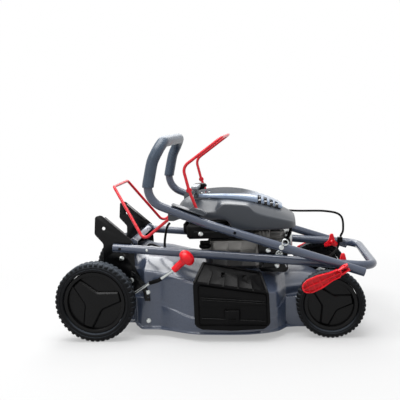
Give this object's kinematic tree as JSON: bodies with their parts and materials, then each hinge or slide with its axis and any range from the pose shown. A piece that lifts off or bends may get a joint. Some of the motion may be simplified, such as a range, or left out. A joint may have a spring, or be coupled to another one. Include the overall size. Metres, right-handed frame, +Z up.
{
  "type": "petrol lawn mower",
  "caption": "Walk-behind petrol lawn mower with steel deck, side discharge and folding tube handle, shown folded for transport.",
  "frame": {"origin": "middle of the mower's box on the ground, with the handle folded", "axes": "+X to the mower's front, -Y to its right-hand side with the side discharge, +Z up"},
  "size_m": [0.9885, 0.5668, 0.6192],
  "materials": {
    "black_plastic": "moulded, slightly satin",
    "black_steel": "black powder coat",
    "grey_paint": "dark blue-grey gloss powder coat",
    "red_plastic": "glossy red",
    "red_paint": "red powder coat on rod",
    "tyre_rubber": "matt rubber",
    "foam": "closed-cell foam",
    "cast_aluminium": "as cast",
    "zinc_steel": "zinc plated",
    "blade_steel": "plain steel",
    "shroud_plastic": "charcoal, fine texture",
    "cover_plastic": "metallic blue-grey"
  },
  "bodies": {
    "chassis": {"deck_shell": "grey_paint", "handle_bracket_right": "black_steel", "handle_bracket_left": "black_steel", "handle_pivot_pin_right": "zinc_steel", "handle_pivot_pin_left": "zinc_steel", "height_quadrant": "zinc_steel", "discharge_frame": "black_plastic", "engine_shroud": "shroud_plastic", "shroud_cover": "cover_plastic", "engine_block": "cast_aluminium", "cylinder_head": "cast_aluminium", "rocker_cover": "zinc_steel", "spark_plug_boot": "black_plastic", "fuel_tank": "black_plastic", "muffler": "blade_steel", "muffler_guard": "black_steel", "air_filter_housing": "black_plastic", "carburettor": "cast_aluminium", "drive_belt": "tyre_rubber"},
    "rear_crank": {"rear_crank_axle": "zinc_steel", "height_lever": "zinc_steel", "height_knob": "red_plastic"},
    "gearbox": {"gearbox": "cast_aluminium"},
    "height_link": {"height_link": "zinc_steel"},
    "front_crank": {"front_crank_axle": "zinc_steel"},
    "rear_right_wheel": {"rear_right_tyre": "tyre_rubber", "rear_right_wheel_disc": "black_plastic"},
    "rear_left_wheel": {"rear_left_tyre": "tyre_rubber", "rear_left_wheel_disc": "black_plastic"},
    "front_right_wheel": {"front_right_tyre": "tyre_rubber", "front_right_wheel_disc": "black_plastic"},
    "front_left_wheel": {"front_left_tyre": "tyre_rubber", "front_left_wheel_disc": "black_plastic"},
    "lower_handle": {"lower_handle": "grey_paint", "cam_seat_right": "red_plastic", "cam_seat_left": "red_plastic", "brake_cable_tail": "black_plastic", "drive_cable_tail": "black_plastic"},
    "upper_handle": {"upper_handle": "grey_paint", "foam_grip": "foam", "bail_bracket_right": "grey_paint", "bail_bracket_left": "grey_paint", "brake_cable": "black_plastic", "drive_cable": "black_plastic", "rope_guide": "zinc_steel"},
    "brake_bail": {"brake_bail": "red_paint"},
    "drive_bail": {"drive_bail": "red_paint"},
    "cam_lever_right": {"cam_lever_right": "red_plastic"},
    "cam_lever_left": {"cam_lever_left": "red_plastic"},
    "rear_flap": {"rear_flap": "grey_paint"},
    "discharge_flap": {"discharge_flap": "black_plastic"},
    "discharge_latch": {"discharge_latch": "black_plastic"},
    "drive_line": {"crankshaft": "blade_steel", "flywheel": "cast_aluminium", "blade_hub": "blade_steel", "cutting_blade": "blade_steel"},
    "recoil_handle": {"recoil_handle": "black_plastic"},
    "fuel_cap": {"fuel_cap": "black_plastic"},
    "oil_cap": {"oil_cap": "black_plastic"}
  },
  "joints": [
    {"name": "lower_handle_fold", "type": "hinge", "parent": "chassis", "child": "lower_handle", "pos_m": [-0.301, 0, 0.274], "axis": [0, -1, 0], "range_deg": [0, 153], "deforming": ["brake_cable_tail", "drive_cable_tail"]},
    {"name": "upper_handle_fold", "type": "hinge", "parent": "lower_handle", "child": "upper_handle", "pos_m": [0.388, 0, 0.2125], "axis": [0, 1, 0], "range_deg": [0, 167], "deforming": ["brake_cable", "drive_cable"]},
    {"name": "brake_bail_squeeze", "type": "hinge", "parent": "upper_handle", "child": "brake_bail", "pos_m": [-0.05, 0, 0.3785], "axis": [0, -1, 0], "range_deg": [0, 35], "stiffness_Nm_per_rad": 2},
    {"name": "drive_bail_squeeze", "type": "hinge", "parent": "upper_handle", "child": "drive_bail", "pos_m": [-0.136, 0, 0.369], "axis": [0, 1, 0], "range_deg": [0, 50], "stiffness_Nm_per_rad": 2},
    {"name": "cam_lever_right_swing", "type": "hinge", "parent": "lower_handle", "child": "cam_lever_right", "pos_m": [0.388, -0.244, 0.2125], "axis": [-0.4147, 0, 0.91], "range_deg": [0, 150]},
    {"name": "cam_lever_left_swing", "type": "hinge", "parent": "lower_handle", "child": "cam_lever_left", "pos_m": [0.388, 0.244, 0.2125], "axis": [0.4147, 0, -0.91], "range_deg": [0, 150]},
    {"name": "height_lever", "type": "hinge", "parent": "chassis", "child": "rear_crank", "pos_m": [-0.32, 0, 0.1106], "axis": [0, -1, 0], "range_deg": [0, 50], "deforming": ["drive_belt"]},
    {"name": "front_crank_turn", "type": "hinge", "parent": "chassis", "child": "front_crank", "pos_m": [0.395, 0, 0.0905], "axis": [0, -1, 0], "range_deg": [0, 50]},
    {"name": "height_link_swing", "type": "hinge", "parent": "rear_crank", "child": "height_link", "pos_m": [-0.3395, 0, 0.0827], "axis": [0, -1, 0], "range_deg": [-50, 0]},
    {"name": "gearbox_swing", "type": "hinge", "parent": "rear_crank", "child": "gearbox", "pos_m": [-0.372, 0, 0.1226], "axis": [0, -1, 0], "range_deg": [-50, 0]},
    {"name": "rear_right_wheel_roll", "type": "hinge", "parent": "rear_crank", "child": "rear_right_wheel", "pos_m": [-0.372, -0.255, 0.1226], "axis": [0, 1, 0], "continuous": true},
    {"name": "rear_left_wheel_roll", "type": "hinge", "parent": "rear_crank", "child": "rear_left_wheel", "pos_m": [-0.372, 0.255, 0.1226], "axis": [0, 1, 0], "continuous": true},
    {"name": "front_right_wheel_roll", "type": "hinge", "parent": "front_crank", "child": "front_right_wheel", "pos_m": [0.343, -0.2295, 0.1025], "axis": [0, 1, 0], "continuous": true},
    {"name": "front_left_wheel_roll", "type": "hinge", "parent": "front_crank", "child": "front_left_wheel", "pos_m": [0.343, 0.2295, 0.1025], "axis": [0, 1, 0], "continuous": true},
    {"name": "rear_flap_lift", "type": "hinge", "parent": "chassis", "child": "rear_flap", "pos_m": [-0.268, 0, 0.283], "axis": [0, 1, 0], "range_deg": [0, 70], "stiffness_Nm_per_rad": 0.6},
    {"name": "discharge_flap_lift", "type": "hinge", "parent": "chassis", "child": "discharge_flap", "pos_m": [0.051, -0.279, 0.15675], "axis": [-0.9895, 0, 0.1445], "range_deg": [0, 100], "stiffness_Nm_per_rad": 0.2},
    {"name": "discharge_latch_press", "type": "slide", "parent": "discharge_flap", "child": "discharge_latch", "axis": [0, 0, 1], "range_m": [0, 0.006], "stiffness_N_per_m": 250},
    {"name": "crankshaft_spin", "type": "hinge", "parent": "chassis", "child": "drive_line", "pos_m": [0.053, 0, 0.1], "axis": [0, 0, 1], "continuous": true},
    {"name": "recoil_pull", "type": "slide", "parent": "chassis", "child": "recoil_handle", "axis": [0, 0, 1], "range_m": [0, 0.45], "stiffness_N_per_m": 12},
    {"name": "fuel_cap_turn", "type": "hinge", "parent": "chassis", "child": "fuel_cap", "pos_m": [-0.072, 0.1, 0.428], "axis": [0, 0, 1], "range_deg": [0, 90]},
    {"name": "oil_cap_turn", "type": "hinge", "parent": "chassis", "child": "oil_cap", "pos_m": [-0.038, -0.144, 0.2616], "axis": [0, 0, 1], "range_deg": [0, 90]}
  ],
  "couplings": [
    {"joint": "upper_handle_fold", "follows": "lower_handle_fold", "ratio": 1.0909},
    {"joint": "front_crank_turn", "follows": "height_lever", "ratio": 1},
    {"joint": "height_link_swing", "follows": "height_lever", "ratio": -1},
    {"joint": "gearbox_swing", "follows": "height_lever", "ratio": -1}
  ]
}
